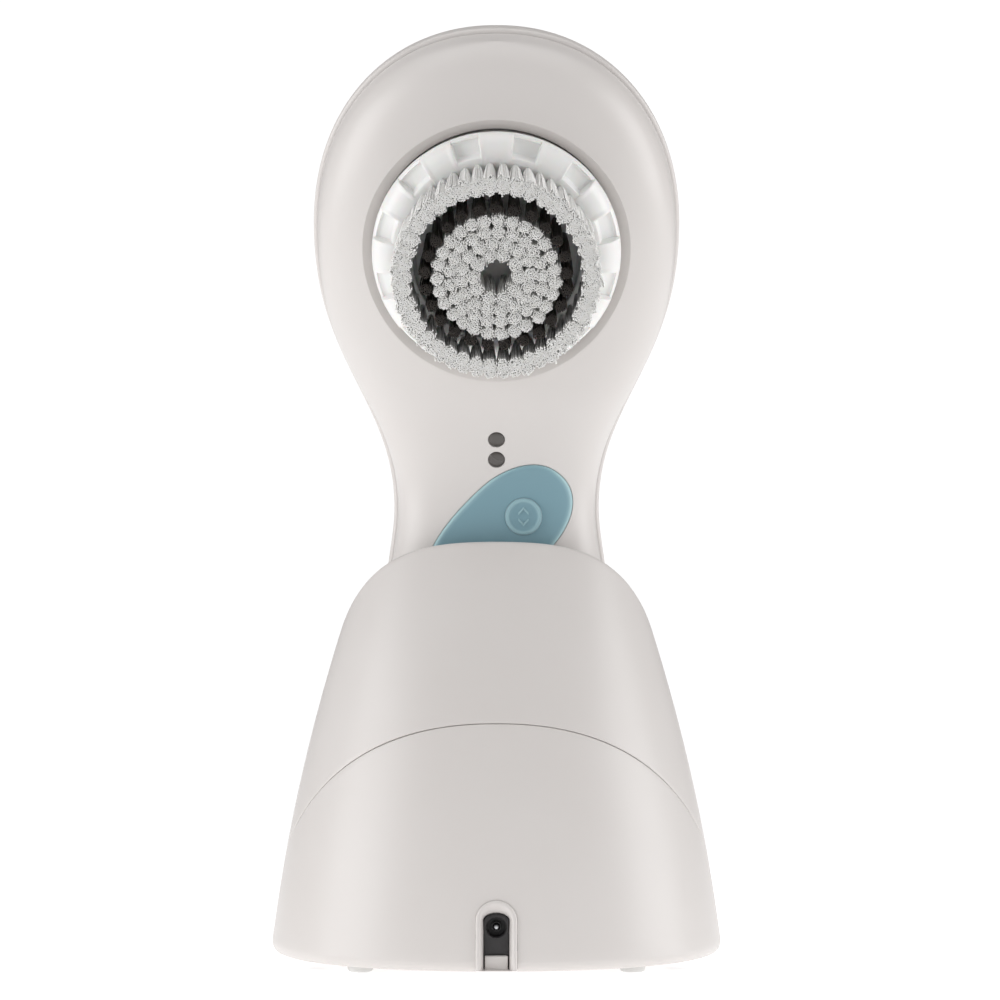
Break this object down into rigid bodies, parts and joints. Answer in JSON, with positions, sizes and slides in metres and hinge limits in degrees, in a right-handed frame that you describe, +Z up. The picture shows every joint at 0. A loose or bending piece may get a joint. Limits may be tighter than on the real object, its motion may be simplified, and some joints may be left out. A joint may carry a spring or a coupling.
{
  "type": "facial cleansing brush",
  "caption": "Oscillating facial cleansing brush with a forward-leaning head, standing in its tapered charging dock.",
  "frame": {"origin": "middle of the dock's footprint on the surface it stands on", "axes": "+Z up, -Y towards the brush face and the charging socket, +X to the right seen from the front"},
  "size_m": [0.0896, 0.0802, 0.1856],
  "materials": {
    "shell_plastic": "satin moulded",
    "brush_plastic": "smooth moulded",
    "pad_elastomer": "soft touch",
    "lens_plastic": "smoked",
    "white_filament": "fine nylon filament",
    "dark_filament": "fine nylon filament",
    "black_plastic": "moulded",
    "grey_plastic": "glass filled",
    "seal_rubber": "moulded",
    "foot_rubber": "moulded",
    "steel": "plated",
    "magnet_metal": "nickel plated",
    "copper_wire": "enamelled windings",
    "bronze": "sintered",
    "ferrite": "sintered",
    "circuit_board": "solder mask",
    "cell_sleeve": "shrink film"
  },
  "bodies": {
    "dock": {"dock_upper_shell": "shell_plastic", "dock_base_shell": "shell_plastic", "dock_bottom_plate": "shell_plastic", "dock_foot_1": "foot_rubber", "dock_foot_2": "foot_rubber", "dock_foot_3": "foot_rubber", "dock_foot_4": "foot_rubber", "dock_screw_1": "steel", "dock_screw_2": "steel", "dock_screw_3": "steel", "dock_screw_4": "steel", "well_liner": "shell_plastic", "charge_coil": "copper_wire", "dock_circuit_board": "circuit_board", "jack_bezel": "shell_plastic", "jack_housing": "black_plastic", "jack_pin": "steel"},
    "handle": {"handle_front_cover": "shell_plastic", "handle_rear_cover": "shell_plastic", "cover_seal": "seal_rubber", "button_pad": "pad_elastomer", "level_switch": "black_plastic", "power_switch": "black_plastic", "led_lens_upper": "lens_plastic", "led_upper": "brush_plastic", "led_lens_lower": "lens_plastic", "led_lower": "brush_plastic", "handle_circuit_board": "circuit_board", "board_screw_1": "steel", "board_screw_2": "steel", "chassis": "grey_plastic", "battery_cell": "cell_sleeve", "receive_coil": "copper_wire", "receive_core": "ferrite", "motor_frame": "grey_plastic", "frame_screw_left": "steel", "frame_screw_right": "steel", "rear_bearing": "bronze", "front_bearing": "bronze", "stator_core": "steel", "stator_winding": "copper_wire", "brush_socket": "shell_plastic", "shaft_seal": "seal_rubber"},
    "drive": {"drive_shaft": "steel", "drive_hub": "black_plastic", "armature_arm": "steel", "magnet_left": "magnet_metal", "magnet_right": "magnet_metal"},
    "level_key": {"level_button": "pad_elastomer", "level_plunger": "pad_elastomer"},
    "power_key": {"power_button": "pad_elastomer", "power_plunger": "pad_elastomer"},
    "brush_head": {"brush_collar": "brush_plastic", "retaining_ring": "brush_plastic", "outer_bristles": "white_filament"},
    "brush_disc": {"brush_disc": "brush_plastic", "dark_bristles": "dark_filament", "inner_bristles": "white_filament"}
  },
  "joints": [
    {"name": "handle_lift", "type": "slide", "parent": "dock", "child": "handle", "axis": [0, 0, 1], "range_m": [0, 0.085]},
    {"name": "drive_swing", "type": "hinge", "parent": "handle", "child": "drive", "pos_m": [0, -0.00101, 0.146], "axis": [0, -0.9483, -0.3173], "range_deg": [-8, 8], "stiffness_Nm_per_rad": 0.2},
    {"name": "head_pull", "type": "slide", "parent": "handle", "child": "brush_head", "axis": [0, -0.9483, -0.3173], "range_m": [0, 0.025]},
    {"name": "disc_swing", "type": "hinge", "parent": "brush_head", "child": "brush_disc", "pos_m": [0, -0.00101, 0.146], "axis": [0, -0.9483, -0.3173], "range_deg": [-8, 8]},
    {"name": "level_press", "type": "slide", "parent": "handle", "child": "level_key", "axis": [0, 1, 0], "range_m": [0, 0.0006], "stiffness_N_per_m": 400},
    {"name": "power_press", "type": "slide", "parent": "handle", "child": "power_key", "axis": [0, 1, 0], "range_m": [0, 0.0006], "stiffness_N_per_m": 400}
  ],
  "couplings": [
    {"joint": "disc_swing", "follows": "drive_swing", "ratio": 1}
  ]
}
